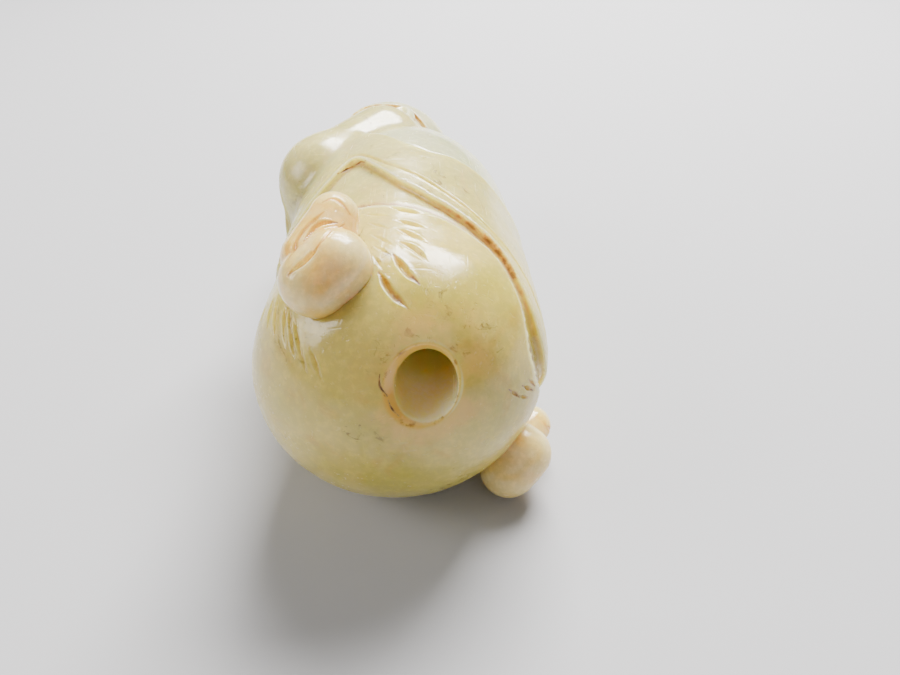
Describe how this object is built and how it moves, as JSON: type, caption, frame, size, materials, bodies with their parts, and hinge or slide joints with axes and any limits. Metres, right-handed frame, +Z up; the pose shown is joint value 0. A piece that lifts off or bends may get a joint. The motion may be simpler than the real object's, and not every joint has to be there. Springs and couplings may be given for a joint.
{
  "type": "jade figurine",
  "caption": "Small carved jade boy in baggy trousers and a jacket, lying on one side, with a drilled hole in the seat.",
  "frame": {"origin": "middle of the part's footprint on the table, at the table's top", "axes": "+Z up from the table he lies on; +Y from his shoes to the top of his head, his long axis; +X to the side where his back is"},
  "size_m": [0.0358, 0.0676, 0.0341],
  "materials": {
    "pale_jade": "polished, translucent pale celadon nephrite",
    "yellow_jade": "polished, translucent yellow-green nephrite",
    "cream_jade": "polished, translucent cream to peach nephrite"
  },
  "bodies": {
    "root": {"trousers": "yellow_jade", "inner_robe": "yellow_jade", "jacket": "pale_jade", "collar": "pale_jade", "head": "pale_jade", "left_shoe_toe": "cream_jade", "right_shoe_toe": "cream_jade", "left_shoe_upper": "cream_jade", "right_shoe_upper": "cream_jade", "left_sleeve": "yellow_jade", "left_cuff": "pale_jade", "left_hand": "pale_jade", "left_ear": "pale_jade", "left_hair_tuft": "pale_jade", "right_sleeve": "yellow_jade", "right_cuff": "pale_jade", "right_hand": "pale_jade", "right_ear": "pale_jade", "right_hair_tuft": "pale_jade"}
  },
  "joints": []
}
